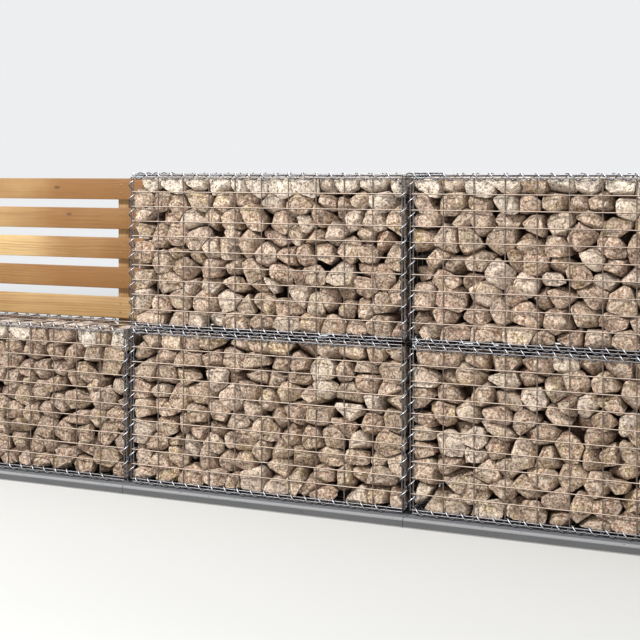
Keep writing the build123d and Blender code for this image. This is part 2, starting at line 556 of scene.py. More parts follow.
# %% [markdown]
# ## Welded mesh panels
# A panel is a row of upright wires welded to a row of cross wires, one layer behind the other.
# Everything repeats, so the tree is small: two lines of points, with a straight piece of round
# wire on each point. One tree serves the front, the back, the ends and the lids.

# %% Panel tree
WIRE_SIDES = 8
panel_tree, inputs = new_geometry_tree(
    "welded_panel",
    lengths=("Width", "Height", "Wire", "Overhang", "Openness"),
    counts=("Columns", "Rows"),
)


def wire_row(tree, count, start, step, length, turn, inner_wear):
    """A row of straight wires, one at each point of a line. The outer two are frame wires."""
    inputs_of_line = {"Count": count, "Start Location": start, "Offset": step}
    line = tree.node("GeometryNodeMeshLine", {"mode": "OFFSET"}, inputs_of_line)
    index = tree.node("GeometryNodeInputIndex")
    outer = tree.maths("COMPARE", index, 0.0, 0.5) + tree.maths("COMPARE", index, count - 1.0, 0.5)
    # Hidden panels are less open, so their inner wires are painted darker, as shade.
    wear = (1.0 - outer) * inner_wear * inputs["Openness"] + EDGE_WEAR
    worn = tree.node(
        "GeometryNodeStoreNamedAttribute",
        {"data_type": "FLOAT", "domain": "POINT"},
        {"Geometry": line, "Name": "wire_wear", "Value": wear},
    )
    inputs_of_wire = {"Vertices": WIRE_SIDES, "Radius": inputs["Wire"] * 0.5, "Depth": length}
    wire = tree.node("GeometryNodeMeshCylinder", None, inputs_of_wire)
    placed = {"Points": worn, "Instance": wire, "Rotation": turn}
    return tree.node("GeometryNodeInstanceOnPoints", None, placed)


def point(tree, x, y, z):
    """A place or a step, from three numbers or sockets."""
    return tree.node("ShaderNodeCombineXYZ", None, {"X": x, "Y": y, "Z": z})


half_wire = inputs["Wire"] * 0.5
uprights = wire_row(
    panel_tree,
    inputs["Columns"] + 1.0,
    point(panel_tree, inputs["Width"] * -0.5, half_wire, inputs["Height"] * 0.5),
    point(panel_tree, inputs["Width"] / inputs["Columns"], 0.0, 0.0),
    inputs["Height"] + inputs["Overhang"] * 2.0,
    (0.0, 0.0, 0.0),
    UPRIGHT_WEAR,
)
cross_wires = wire_row(
    panel_tree,
    inputs["Rows"] + 1.0,
    point(panel_tree, 0.0, half_wire * -1.0, 0.0),
    point(panel_tree, 0.0, 0.0, inputs["Height"] / inputs["Rows"]),
    inputs["Width"] + inputs["Overhang"] * 2.0,
    (0.0, math.radians(90), 0.0),
    LEVEL_WEAR,
)
gathered = panel_tree.node("GeometryNodeJoinGeometry", None, {"Geometry": uprights})
panel_tree.node_tree.links.new(cross_wires.socket, gathered.socket.node.inputs["Geometry"])
end_tree(panel_tree, gathered, wire_material)
print("panel tree:", len(panel_tree.node_tree.nodes), "nodes")

# %% [markdown]
# ## The panels of a basket
# A basket has six panels of three sizes, so three meshes are grown and each is set in its place by
# a matrix. Upright wires lie inside and level ones outside, as on the real basket, so each matrix
# turns the same side of the panel out.

# %% Panels of one basket
BASKET_LENGTH, BASKET_HEIGHT = 1.0, 0.5
CELL_WIDTH, CELL_HEIGHT = 0.1, 0.05
LID_DEPTH, END_DEPTH = 0.304, 0.3
# Where the two layers of wire of each panel meet, from the basket's origin.
FRONT_PLANE, END_PLANE, LID_PLANE, BASE_PLANE = 0.152, 0.508, 0.508, -0.008
# How open each panel lies. The inner wires of hidden panels are painted darker, as shade.
FACE_OPENNESS, END_OPENNESS, LID_OPENNESS = 1.0, 0.3, 0.4


def panel(width, height, columns, rows, openness):
    """A welded panel. Its wires are paler the more it lies in the open, and painted darker, as shade,
    the less.
    """
    sizes = {"Width": width, "Height": height, "Columns": columns, "Rows": rows}
    sizes.update({"Wire": WIRE, "Overhang": WIRE / 2, "Openness": openness})
    return grown(panel_tree, sizes)


def basis(x_axis, y_axis, z_axis, place):
    """The matrix whose columns are three axes and a place."""
    matrix = Matrix((x_axis, y_axis, z_axis)).transposed().to_4x4()
    matrix.translation = place
    return matrix


long_cells = round(BASKET_LENGTH / CELL_WIDTH)
high_cells = round(BASKET_HEIGHT / CELL_HEIGHT)
deep_cells = round(END_DEPTH / CELL_WIDTH)
long_panel = panel(BASKET_LENGTH, BASKET_HEIGHT, long_cells, high_cells, FACE_OPENNESS)
end_panel = panel(END_DEPTH, BASKET_HEIGHT, deep_cells, high_cells, END_OPENNESS)
lid_panel = panel(BASKET_LENGTH, LID_DEPTH, long_cells, deep_cells, LID_OPENNESS)
X, Y, Z = Vector((1, 0, 0)), Vector((0, 1, 0)), Vector((0, 0, 1))
panel_places = {
    "front_mesh": [(long_panel, basis(X, Y, Z, -FRONT_PLANE * Y))],
    "back_mesh": [(long_panel, basis(-X, -Y, Z, FRONT_PLANE * Y))],
    "end_meshes": [
        (end_panel, basis(Y, -X, Z, -END_PLANE * X)),
        (end_panel, basis(-Y, X, Z, END_PLANE * X)),
    ],
    "lid_mesh": [(lid_panel, basis(X, -Z, Y, LID_PLANE * Z - LID_DEPTH / 2 * Y))],
    "base_mesh": [(lid_panel, basis(X, Z, -Y, BASE_PLANE * Z + LID_DEPTH / 2 * Y))],
}
for basket, origin in origins.items():
    at_basket = Matrix.Translation(origin)
    for part_name, places in panel_places.items():
        wires = joined([moved(mesh, at_basket @ matrix) for mesh, matrix in places])
        node = f"{basket}_{part_name}"
        add_piece(node + "_wires", wires, wire_material, "galvanised_wire", node)

# %% [markdown]
# ## Lacing spirals
# Long open springs are screwed over the edge wires and lace neighbouring panels together.
# A spiral follows a straight edge by one rule, so a geometry tree makes it from a spiral curve
# and a round section. All of them wind the same way, like a common screw thread.
# Each grows up from the origin, and the next cell turns it and moves it into place.

# %% Spiral tree
SECTION_SIDES = 6
spiral_tree, inputs = new_geometry_tree(
    "lacing_spiral",
    lengths=("Turns", "Pitch", "Radius", "Wire"),
    counts=("Steps",),
)
coil_inputs = {
    "Resolution": inputs["Steps"],
    "Rotations": inputs["Turns"],
    "Start Radius": inputs["Radius"],
    "End Radius": inputs["Radius"],
    "Height": inputs["Turns"] * inputs["Pitch"],
    "Reverse": True,
}
coil = spiral_tree.node("GeometryNodeCurveSpiral", None, coil_inputs)
section_inputs = {"Resolution": SECTION_SIDES, "Radius": inputs["Wire"] * 0.5}
section = spiral_tree.node("GeometryNodeCurvePrimitiveCircle", None, section_inputs)
spring_inputs = {"Curve": coil, "Profile Curve": section, "Fill Caps": True}
spring = spiral_tree.node("GeometryNodeCurveToMesh", None, spring_inputs)
end_tree(spiral_tree, spring, spring_material)
print("spiral tree:", len(spiral_tree.node_tree.nodes), "nodes")

# %% [markdown]
# ## The spirals of a basket
# Six edges are laced: the front panel's four, and the lid and the base along the left end. Half a
# turn about the upright axis gives the other six. Each spiral is told where its first crown lies,
# so that its turns pass between the cross wires and not through them.

# %% Spirals of one basket
SPIRAL_RADIUS = 0.0105
PITCH = 0.05
STEPS_OF_TURN = 14


def spiral(start, along, length, crown, crown_at):
    """A spiral from start, along an edge. A turn has its crown at one distance from the start."""
    sizes = {"Turns": length / PITCH, "Pitch": PITCH, "Radius": SPIRAL_RADIUS}
    sizes.update({"Wire": WIRE, "Steps": STEPS_OF_TURN})
    mesh = grown(spiral_tree, sizes)
    phase = Matrix.Rotation(-2 * math.pi * crown_at / PITCH, 3, along)
    first = phase @ crown
    mesh.transform(basis(first, along.cross(first), along, start))
    return mesh


# The lines that the spirals wind about, from the basket's origin, and how long the spirals are.
EDGE_X, EDGE_Y, EDGE_TOP, EDGE_FOOT = 0.505, 0.151, 0.505, -0.005
LACE_Y = 0.152
TOP_LENGTH, FOOT_LENGTH, UPRIGHT_LENGTH, DEPTH_LENGTH = 0.985, 0.955, 0.482, 0.26
FOOT_START, UPRIGHT_START = 0.005, 0.006


def front_spirals():
    """The lacing of the front edges and of the left end, about the basket's origin."""
    left, front = -BASKET_LENGTH / 2, -DEPTH_LENGTH / 2
    return [
        spiral(Vector((left, -LACE_Y, EDGE_TOP)), X, TOP_LENGTH, Z, 0.0),
        spiral(Vector((left + FOOT_START, -LACE_Y, EDGE_FOOT)), X, FOOT_LENGTH, Z, 0.003),
        spiral(Vector((-EDGE_X, -EDGE_Y, UPRIGHT_START)), Z, UPRIGHT_LENGTH, -X, 0.0125),
        spiral(Vector((EDGE_X, -EDGE_Y, UPRIGHT_START)), Z, UPRIGHT_LENGTH, Y, 0.015),
        spiral(Vector((-EDGE_X, front, EDGE_TOP)), Y, DEPTH_LENGTH, Z, 0.03),
        spiral(Vector((-EDGE_X, front, EDGE_FOOT)), Y, DEPTH_LENGTH, Z, 0.038),
    ]


laced = joined(front_spirals())
both_sides = [laced, moved(laced, Matrix.Rotation(math.pi, 4, "Z"))]
for basket, origin in origins.items():
    lacing = joined([moved(mesh, Matrix.Translation(origin)) for mesh in both_sides])
    node = basket + "_front_spirals"
    add_piece(basket + "_lacing", lacing, spring_material, "galvanised_wire", node)

# %% [markdown]
# ## Broken stone, the finish
# The fill is crushed sandstone, tan to pinkish brown, with cream and ochre pieces between.
# Each stone carries its own tone and its own grain direction as attributes of the mesh, so
# one finish serves them all and no two stones look alike. Every broken face has its own shade,
# the arrises are rubbed pale, and dust and a painted shade darken the deep gaps.

# %% Stone finish
# Noise patterns of the stone, each as scale, detail and roughness.
CLOUD, FRACTURE, BEDS = (16.0, 4.0, 0.6), (42.0, 8.0, 0.72), (55.0, 4.0, 0.6)
GRAIN, CRYSTALS = (62.0, 7.0, 0.72), (135.0, 2.0, 0.7)
SPECKLE, GRIT = (150.0, 3.0, 0.7), (240.0, 3.0, 0.65)
BED_SHAPE = (0.45, 0.6, 1.1)
CHIP_SCALE, CHIP_DRIFT = 70.0, 0.02
STONE_RELIEF = 0.012
TAN, PINKISH = srgb(0.785, 0.672, 0.568), srgb(0.725, 0.577, 0.485)
CREAM, OCHRE = srgb(0.97, 0.93, 0.87), srgb(0.72, 0.63, 0.36)
IRON_STAIN, DARK_BED = srgb(0.56, 0.42, 0.32), srgb(0.48, 0.37, 0.29)
LIGHT_GRAIN, DARK_GRAIN = srgb(0.95, 0.86, 0.76), srgb(0.42, 0.29, 0.21)
LIGHT_SPECK, DARK_SPECK = srgb(0.97, 0.90, 0.82), srgb(0.36, 0.24, 0.16)
LIGHT_CRYSTAL, DARK_CRYSTAL = srgb(0.97, 0.90, 0.81), srgb(0.40, 0.28, 0.19)
RUBBED, GAP_SHADE = srgb(0.96, 0.88, 0.81), srgb(0.35, 0.225, 0.135)

stone_material, tree, shader = new_material("crushed_sandstone")
grain_place = tree.attribute("grain_place", "Vector")
warm, pale, moss = tree.channels(tree.attribute("stone_look", "Color"))
arris, face_tone, shelter = tree.channels(tree.attribute("stone_wear", "Color"))
bed_place = tree.stretched(grain_place, BED_SHAPE)
beds = tree.noise(bed_place, *BEDS)
speckle = tree.noise(bed_place, *SPECKLE)
grain = tree.noise(grain_place, *GRAIN)
grit = tree.noise(grain_place, *GRIT)
crystals = tree.noise(grain_place, *CRYSTALS)
stain = tree.smooth(tree.noise(grain_place, *CLOUD), 0.50, 0.66) * (1.0 - pale)
patch = tree.smooth(tree.noise(grain_place, 30.0, 2.0), 0.38, 0.60)
growth = tree.smooth(tree.noise(grain_place, 24.0, 5.0, 0.6), 0.46, 0.60) * moss
drift = tree.scaled(tree.noise(grain_place, 40.0, 3.0, 0.6, output=1), CHIP_DRIFT)
chip_place = tree.vector("ADD", grain_place, drift)
chips = tree.node("ShaderNodeTexVoronoi", None, {"Vector": chip_place, "Scale": CHIP_SCALE}, "Color")
chip_tone, _, _ = tree.channels(chips)

layers = [
    (pale, CREAM),
    (growth * 0.75, OCHRE),
    (stain * 0.5, IRON_STAIN),
    (tree.smooth(grain, 0.50, 0.62) * 0.65, LIGHT_GRAIN),
    (tree.smooth(grain, 0.48, 0.36) * 0.75, DARK_GRAIN),
    (tree.smooth(speckle, 0.53, 0.60) * patch * 0.6, LIGHT_SPECK),
    (tree.smooth(speckle, 0.46, 0.39) * (1.1 - patch) * 0.6, DARK_SPECK),
    (tree.smooth(crystals, 0.54, 0.62) * 0.75, LIGHT_CRYSTAL),
    (tree.smooth(crystals, 0.46, 0.38) * 0.75, DARK_CRYSTAL),
    (tree.smooth(beds, 0.56, 0.66) * 0.3, DARK_BED),
    (arris * tree.smooth(grit, 0.35, 0.6) * 0.6, RUBBED),
]
body = tree.coats(tree.blend(warm, TAN, PINKISH), layers)
shade = face_tone * 0.5 + chip_tone * 0.3 + grit * 0.4 + pale * 0.2 + 0.32
body = tree.blend(1.0, body, shade, "MULTIPLY")
# Painted shade, with dust, darkens the deep gaps.
body = tree.blend(shelter * 0.85, body, GAP_SHADE)
relief = tree.noise(grain_place, *FRACTURE) + beds * 0.3 + crystals * 0.3 + chip_tone * 0.16
feed(tree, shader, Base_Color=body, Roughness=0.93, Normal=tree.bump(relief, STONE_RELIEF))
print("stone finish ready")

# %% [markdown]
# ## Broken stone, the packing
# Stones thrown in a basket settle until each is as big as its neighbours allow. A cell diagram
# gives just that: every stone owns the space that is nearer to its middle than to any other's.
# Flat cells would look like cracked glass, so each stone is a ball whose reach in every direction
# is a soft minimum over its planes, and that rounds the edges. Chance planes knock off corners,
# and sloping planes keep the stones at the basket's walls from showing one flat front.
# A ball made of quads has no poles and no thin faces. Stones at the front get the most of them.

# %% Ball of quads


def quad_ball(divisions):
    """Directions and quads of a cube that was divided and swollen to a ball."""
    ball = bmesh.new()
    bmesh.ops.create_cube(ball, size=2)
    bmesh.ops.subdivide_edges(ball, edges=ball.edges[:], cuts=divisions - 1, use_grid_fill=True)
    ball.verts.index_update()
    corners = np.array([vert.co for vert in ball.verts])
    quads = np.array([[vert.index for vert in face.verts] for face in ball.faces])
    ball.free()
    swollen = np.tan(corners * math.pi / 4)
    return swollen / np.linalg.norm(swollen, axis=1, keepdims=True), quads


FRONT_DIVISIONS, BACK_DIVISIONS, CORE_DIVISIONS = 9, 6, 3
balls = {count: quad_ball(count) for count in (FRONT_DIVISIONS, BACK_DIVISIONS, CORE_DIVISIONS)}
print("balls:", {divisions: len(quads) for divisions, (_, quads) in balls.items()})

# %% [markdown]
# ## Where the stones lie
# Stones are laid against the wire by hand, and the rest are tipped in behind them. So the middles
# start as a front layer, a back layer and a looser core. Each then moves towards the middle of
# the space that it owns, which evens out their sizes.

# %% Stone middles
# Columns and rows of the layers that are seen, and of the core.
LAYER_GRID, CORE_GRID = (12, 9), (9, 6)
LAYER_DEPTH = 0.040
ROW_SHIFT, SCATTER = 0.2, 0.45
LAYER_WANDER, CORE_WANDER = 0.012, 0.015
# The stones are a little flatter than they are wide, so heights count for more than lengths.
STRETCH = np.array([1.0, 1.0, 1.2])
SETTLE_POINTS, SETTLE_SHARE = 24000, 0.7


def layer_of_middles(rng, low, high, grid, depth, wander):
    """Middles of one upright layer of stones, in shifted rows, each a little off its place."""
    columns, rows = grid
    column, row = np.meshgrid(np.arange(columns), np.arange(rows))
    shift = np.where(row % 2 == 0, ROW_SHIFT, -ROW_SHIFT)
    across = (column + 0.5 + shift) / columns
    up = (row + 0.5) / rows
    places = np.stack([across, np.zeros_like(up), up], axis=-1).reshape(-1, 3)
    cell = np.array([1 / columns, 0, 1 / rows])
    places += rng.uniform(-SCATTER, SCATTER, places.shape) * cell
    places = low + places * (high - low)
    places[:, 1] = depth + rng.uniform(-wander, wander, len(places))
    return places


def settled(rng, middles, low, high):
    """Moves each middle towards the middle of the space that it owns."""
    points = rng.uniform(low, high, (SETTLE_POINTS, 3))
    ours, theirs = points * STRETCH, middles * STRETCH
    squares = (ours**2).sum(1)[:, None] + (theirs**2).sum(1) - 2 * ours @ theirs.T
    owner = squares.argmin(1)
    counts = np.bincount(owner, minlength=len(middles)).clip(1)
    sums = np.stack([np.bincount(owner, points[:, axis], len(middles)) for axis in range(3)], axis=1)
    return middles + (sums / counts[:, None] - middles) * SETTLE_SHARE


print("stones in a layer and in the core, columns by rows:", LAYER_GRID, CORE_GRID)

# %% [markdown]
# ## Edges of the fill
# A fill that is rounded at its edges looks poured. In a well packed basket the outermost stones
# lie close to the wire, and the top ones make one level course under the lid.

# %% Edges of the fill
COURSE_HEIGHT, COURSE_WANDER = 0.052, 0.004
SEEN_DEPTH = 0.07
SNUG_REACH, SNUG_SHARE = 0.052, 0.7


def snug(middles, low, high):
    """Moves the outermost stones close to the ends and the foot, where they fill the edges."""
    for axis, sign, wall in ((0, 1, low), (0, -1, high), (2, 1, low)):
        room = sign * (middles[:, axis] - wall[axis])
        closer = wall[axis] + sign * room * SNUG_SHARE
        middles[:, axis] = np.where(room < SNUG_REACH, closer, middles[:, axis])
    return middles


def capped(rng, middles, high):
    """Lays the topmost stones in one level course."""
    top = high[2] - middles[:, 2]
    course = top < COURSE_HEIGHT
    under = ~course & (top < COURSE_HEIGHT * 1.5)
    wander = rng.uniform(-COURSE_WANDER, COURSE_WANDER, course.sum())
    middles[course, 2] = high[2] - COURSE_HEIGHT / 2 + wander
    middles[under, 2] = high[2] - COURSE_HEIGHT * 1.5
    return middles


def stone_middles(rng, low, high):
    """All middles of a basket, how finely each stone is divided, and which lie in the core."""
    front = layer_of_middles(rng, low, high, LAYER_GRID, low[1] + LAYER_DEPTH, LAYER_WANDER)
    back = layer_of_middles(rng, low, high, LAYER_GRID, high[1] - LAYER_DEPTH, LAYER_WANDER)
    core = layer_of_middles(rng, low, high, CORE_GRID, (low[1] + high[1]) / 2, CORE_WANDER)
    middles = settled(rng, np.concatenate([front, back, core]), low, high)
    middles = capped(rng, snug(middles, low, high), high)
    in_core = np.arange(len(middles)) >= len(front) + len(back)
    from_end = np.minimum(middles - low, high - middles)[:, 0]
    seen = (from_end < SEEN_DEPTH) | (high[2] - middles[:, 2] < SEEN_DEPTH)
    divisions = np.where(seen, BACK_DIVISIONS, CORE_DIVISIONS)
    divisions[~in_core] = BACK_DIVISIONS
    divisions[: len(front)] = FRONT_DIVISIONS
    return middles, divisions, in_core


print("edges of the fill ready")

# %% [markdown]
# ## Where a stone ends
# A stone ends half way to each neighbour, so a plane stands there, leaned a little so that no
# two faces match. Every plane is a direction and a reach, so that a whole basket is worked out
# as arrays, with no loop over its stones.

# %% Planes between the stones
STONE_GAP, LEAST_GAP = 0.0016, 0.2
NEIGHBOURS = 24
SIZE_SPREAD = 0.0006
LEAN_SPREAD, LEAN_LOSS = 0.06, 0.25


def unit(vectors):
    """Vectors of length 1."""
    return vectors / np.linalg.norm(vectors, axis=-1, keepdims=True)


def neighbour_planes(rng, middles, core):
    """Planes half way between each stone and its neighbours."""
    offsets = middles[None] - middles[:, None]
    squares = ((offsets * STRETCH) ** 2).sum(-1)
    nearest = np.argsort(squares, axis=1)[:, 1 : NEIGHBOURS + 1]
    weight = rng.uniform(-SIZE_SPREAD, SIZE_SPREAD, len(middles))
    chosen = np.take_along_axis(offsets, nearest[..., None], axis=1)
    normals = chosen * STRETCH**2
    lengths = np.linalg.norm(normals, axis=-1)
    share = np.take_along_axis(squares, nearest, axis=1) + weight[:, None] - weight[nearest]
    gap = rng.uniform(LEAST_GAP, 1.0, (len(middles), 1)) * STONE_GAP
    gap[core] = 0.0
    reach = 0.5 * share / lengths - gap
    lean = rng.normal(0, LEAN_SPREAD, normals.shape) * (~core)[:, None, None]
    return unit(normals / lengths[..., None] + lean), reach * (1 - LEAN_LOSS * np.abs(lean).max(-1))


print("neighbours of a stone:", NEIGHBOURS)

# %% [markdown]
# ## Where the wire stops it
# The wire stops a stone too, but a flat face behind the wire would look sawn. So three slopes
# turn each side that meets a wall of the basket into a blunt crown, a little behind the wire.

# %% Planes at the walls
SLOPES, STEEPNESS, TURN_SPREAD = 3, (6, 26), 0.6
RECESS, SLOPE_RECESS = 0.006, 0.007
EASE, MOST_EASED = 1.3, 0.75


def wall_planes(rng, middles, low, high, way_out):
    """The basket's six walls, and sloping planes that crown the stones towards them.

    A slope that would fall away towards another wall is kept slight, so that the stones fill
    the basket's corners.
    """
    normals, reaches = [], []
    count = len(middles)
    for axis in range(3):
        for sign in (-1, 1):
            wall = np.zeros((count, 3))
            wall[:, axis] = sign
            distance = (high - middles)[:, axis] if sign > 0 else (middles - low)[:, axis]
            normals.append(wall)
            reaches.append(distance)
            turn = rng.uniform(0, 2 * math.pi, count)
            recess = rng.uniform(0, RECESS, count)
            for slope in range(SLOPES):
                tilt = np.radians(rng.uniform(*STEEPNESS, count))
                spread = rng.uniform(-TURN_SPREAD, TURN_SPREAD, count)
                angle = turn + slope * 2 * math.pi / SLOPES + spread
                tangent = np.zeros((count, 3))
                tangent[:, (axis + 1) % 3] = np.cos(angle)
                tangent[:, (axis + 2) % 3] = np.sin(angle)
                tilt = tilt * (1 - EASE * (tangent * way_out).sum(-1).clip(0, MOST_EASED))
                normals.append(wall * np.cos(tilt)[:, None] + tangent * np.sin(tilt)[:, None])
                deeper = rng.uniform(0, SLOPE_RECESS, count)
                reaches.append((distance - recess) * np.cos(tilt) + deeper)
    return np.stack(normals, axis=1), np.stack(reaches, axis=1)


print("planes at the walls:", 6 * (SLOPES + 1))

# %% [markdown]
# ## How far it reaches
# The nearest plane ends the stone, and where two are as near, the stone has an arris. Each plane
# is given a closeness, raised to a power, and the sum turns hard edges into rubbed ones.
# The higher the power, the crisper the arris. In einsum's letters s is a stone, v a vertex or
# another direction, p a plane and d an axis.

# %% Reach of the stones
LEAST_REACH = 0.004
TINY = 1e-9


def snapped(directions, stones, nearness):
    """Turns directions that pass close to an arris or a corner exactly towards it."""
    slopes = stones["normals"] / stones["reaches"][..., None].clip(LEAST_REACH)
    closeness = np.einsum("svd,spd->svp", directions, slopes)
    order = np.argsort(-closeness, axis=-1)[..., :3]
    rows = np.arange(len(directions))[:, None, None]
    first, second, third = np.moveaxis(slopes[rows, order], 2, 0)
    across = first - second
    share = (across * directions).sum(-1) / (across**2).sum(-1).clip(TINY)
    arris = unit(directions - across * share[..., None])
    corner = np.cross(across, first - third)
    corner = corner * np.sign((corner * directions).sum(-1, keepdims=True))
    corner = corner / np.linalg.norm(corner, axis=-1, keepdims=True).clip(TINY)
    result = directions.copy()
    for target in (arris, corner):
        near = np.linalg.norm(target - directions, axis=-1) < nearness
        result[near] = target[near]
    return result


def closeness_along(directions, stones):
    """How much each plane counts in each direction. The nearest one counts by far the most."""
    facing = np.einsum("svd,spd->svp", directions, stones["normals"]).clip(0)
    nearness = facing / stones["reaches"][:, None, :].clip(LEAST_REACH)
    return nearness ** stones["softness"][:, None, None]


def soft_reach(closeness, stones):
    """How far each stone reaches: a soft minimum over its planes."""
    return closeness.sum(-1) ** (-1 / stones["softness"][:, None])


print("reach of the stones ready")

# %% [markdown]
# ## Posts among the stones
# The screen's posts were set before the low basket was filled, so the stones lie round them.
# Each post puts one more plane against every stone, and a stone with no room left is taken out.

# %% Posts among the stones
POST_APART = 0.1
POST_CLEARANCE = 0.004
LEAST_ROOM = 0.012


def post_boxes():
    """The space of each timber post, from the frame's solid of them all."""
    vertices = np.array([v.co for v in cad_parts["screen_posts"].data.vertices])
    in_order = vertices[vertices[:, 0].argsort()]
    breaks = np.where(np.diff(in_order[:, 0]) > POST_APART)[0] + 1
    return [(group.min(0), group.max(0)) for group in np.split(in_order, breaks)]


def post_planes(middles):
    """For each stone, one plane against each post, and whether the stone has room beside it."""
    normals, reaches = [], []
    room = np.ones(len(middles), bool)
    rows = np.arange(len(middles))
    for low, high in post_boxes():
        middle, half = (low + high) / 2, (high - low) / 2
        offset = middle - middles
        apart = np.abs(offset) - half
        axis = apart.argmax(1)
        normal = np.zeros_like(middles)
        normal[rows, axis] = np.sign(offset[rows, axis])
        separation = apart[rows, axis] - POST_CLEARANCE
        room &= separation > LEAST_ROOM
        normals.append(normal)
        reaches.append(separation)
    return np.stack(normals, axis=1), np.stack(reaches, axis=1), room


print("posts among the stones:", len(post_boxes()))

# %% [markdown]
# ## Looks of single stones
# Each stone gets three numbers: how warm its tan is, how pale it is, and how much ochre grows on
# it. On the open top courses nearly every stone is painted pale, partly as bleached by sun and rain
# and partly as a painted sunlit top. The low basket's stones are warmer and more even in tone, and
# fewer of its top ones are painted so pale.

# %% Looks of single stones
# Share of top stones painted pale, as sunlit and bleached, how pale they are, and how much moss they
# keep.
SUNLIT_BLEACHED_SHARE = {"upper_middle": 0.93, "upper_right": 0.93, LOW_BASKET: 0.4}
SUNLIT_BLEACHED_PALE, SUNLIT_BLEACHED_MOSS = (0.85, 1.0), 0.3
PALE_POWER, PALEST = 4, 0.7
MOSS_POWER = {"upper": 2.5, "lower": 1.1}
FACE_TONE = {LOW_BASKET: 0.5}


def random_turns(rng, count):
    """Random rotation matrices."""
    columns, _ = np.linalg.qr(rng.normal(size=(count, 3, 3)))
    return columns * np.sign(np.linalg.det(columns))[:, None, None]


def stone_looks(rng, basket, middles, high):
    """Warmth, paleness and growth of each stone."""
    count = len(middles)
    warm = rng.uniform(0, 1, count)
    pale = rng.uniform(0, 1, count) ** PALE_POWER * PALEST
    if basket == LOW_BASKET:
        warm, pale = 1 - warm**2 * 0.6, pale * 0.4
    row, _ = basket.split("_")
    moss = rng.uniform(0, 1, count) ** MOSS_POWER[row]
    # The top course is painted pale, as sunlit and partly bleached.
    if basket in SUNLIT_BLEACHED_SHARE:
        top = high[2] - middles[:, 2] < COURSE_HEIGHT
        sunlit_bleached = top & (rng.uniform(0, 1, count) < SUNLIT_BLEACHED_SHARE[basket])
        pale = np.where(sunlit_bleached, rng.uniform(*SUNLIT_BLEACHED_PALE, count), pale)
        moss = np.where(sunlit_bleached, moss * SUNLIT_BLEACHED_MOSS, moss)
    return np.stack([warm, pale, moss], axis=1)


print("baskets with a bleached top course:", sorted(SUNLIT_BLEACHED_SHARE))

# %% [markdown]
# ## Knocked corners
# Broken stone has no long thin corners, because they are knocked off in the crusher and the lorry.
# Planes from chance directions do the same here. They hardly cut along the basket's edges, where
# the real fill is packed square, and the hidden core is spared, because it only has to look dense.

# %% Knocked corners
# Chance planes: how many, and the share of the stone that the deepest and the slightest leave.
KNOCKS = ((7, 0.80, 0.97), (8, 0.93, 1.0))
EDGE_SPARING, CORE_SPARING = 0.6, 0.12
SPARING_START, SPARING_RISE = 0.1, 3
WALL_REACH, LEAST_PULL, EDGE_SHARE = 0.08, 0.5, 0.15


def outward(middles, low, high):
    """The way out of the basket from each stone, weighed by how near each wall is."""
    near_high = (1 - (high - middles) / WALL_REACH).clip(0)
    near_low = (1 - (middles - low) / WALL_REACH).clip(0)
    pull = near_high - near_low
    return pull / np.linalg.norm(pull, axis=1, keepdims=True).clip(LEAST_PULL)


def edge_ward(way_out):
    """The way out for the stones that lie along an edge of the basket, and nothing for others."""
    along_edge = (np.abs(way_out) > EDGE_SHARE).sum(1) >= 2
    return unit(way_out + TINY) * along_edge[:, None]


def add_planes(stones, normals, reaches):
    """Bounds every stone by more planes."""
    stones["normals"] = np.concatenate([stones["normals"], normals], axis=1)
    stones["reaches"] = np.concatenate([stones["reaches"], reaches], axis=1)


def knock_corners(rng, stones):
    """Knocks off corners and arrises."""
    count = len(stones["middle"])
    for knocks, least, most in KNOCKS:
        ways = unit(rng.normal(size=(count, knocks, 3)))
        knocked = soft_reach(closeness_along(ways, stones), stones)
        depth_share = rng.uniform(least, most, (count, knocks))
        edge_share = np.einsum("skd,sd->sk", ways, edge_ward(stones["way_out"]))
        spared = ((edge_share - SPARING_START) * SPARING_RISE).clip(0, 1) * EDGE_SPARING
        core_spared = CORE_SPARING * stones["in_core"][:, None]
        add_planes(stones, ways, knocked * (depth_share + spared + core_spared))


print("knocks on a stone:", sum(knocks for knocks, _, _ in KNOCKS))

# %% [markdown]
# ## A table of stones
# One table holds a basket's stones, with a row for each: its middle, its planes, how soft its
# arrises are and how it looks. Picking rows from it picks whole stones, so the posts can clear
# their place in one step.

# %% Table of stones
SOFTNESS, CORE_SOFTNESS = (36, 90), 40
SWELL, CORE_SWELL = 1.045, 1.12


def picked(stones, choice):
    """The table of some of the stones."""
    return {name: values[choice] for name, values in stones.items()}


def bounded_stones(rng, basket, low, high):
    """The stones of a basket, with the planes between them, at its walls and at the posts."""
    middles, divisions, in_core = stone_middles(rng, low, high)
    normals, reaches = neighbour_planes(rng, middles, in_core)
    stones = {"middle": middles, "divisions": divisions, "in_core": in_core}
    stones.update(way_out=outward(middles, low, high), normals=normals, reaches=reaches)
    add_planes(stones, *wall_planes(rng, middles, low, high, stones["way_out"]))
    if basket == LOW_BASKET:
        normals, reaches, room = post_planes(middles)
        add_planes(stones, normals, reaches)
        stones = picked(stones, room)
    return stones


def stone_table(rng, basket, low, high):
    """All that is known of a basket's stones before they are shaped."""
    stones = bounded_stones(rng, basket, low, high)
    in_core, count = stones["in_core"], len(stones["middle"])
    stones["softness"] = np.where(in_core, CORE_SOFTNESS, rng.uniform(*SOFTNESS, count))
    stones["swell"] = np.where(in_core, CORE_SWELL, SWELL)
    knock_corners(rng, stones)
    stones["turn"] = random_turns(rng, count)
    stones["look"] = stone_looks(rng, basket, stones["middle"], high)
    stones["tones"] = rng.uniform(0, FACE_TONE.get(basket, 1.0), stones["reaches"].shape)
    return stones


print("stone table ready")

# %% [markdown]
# ## Shade in the fill
# Deep between the stones it is dark and dusty, more than the lights alone can show, so a painted
# shade, with dust, darkens it. Each vertex is told how far it lies behind those walls of its basket
# that face the open. A wall against a neighbour lets no light in, and neither does the foot.

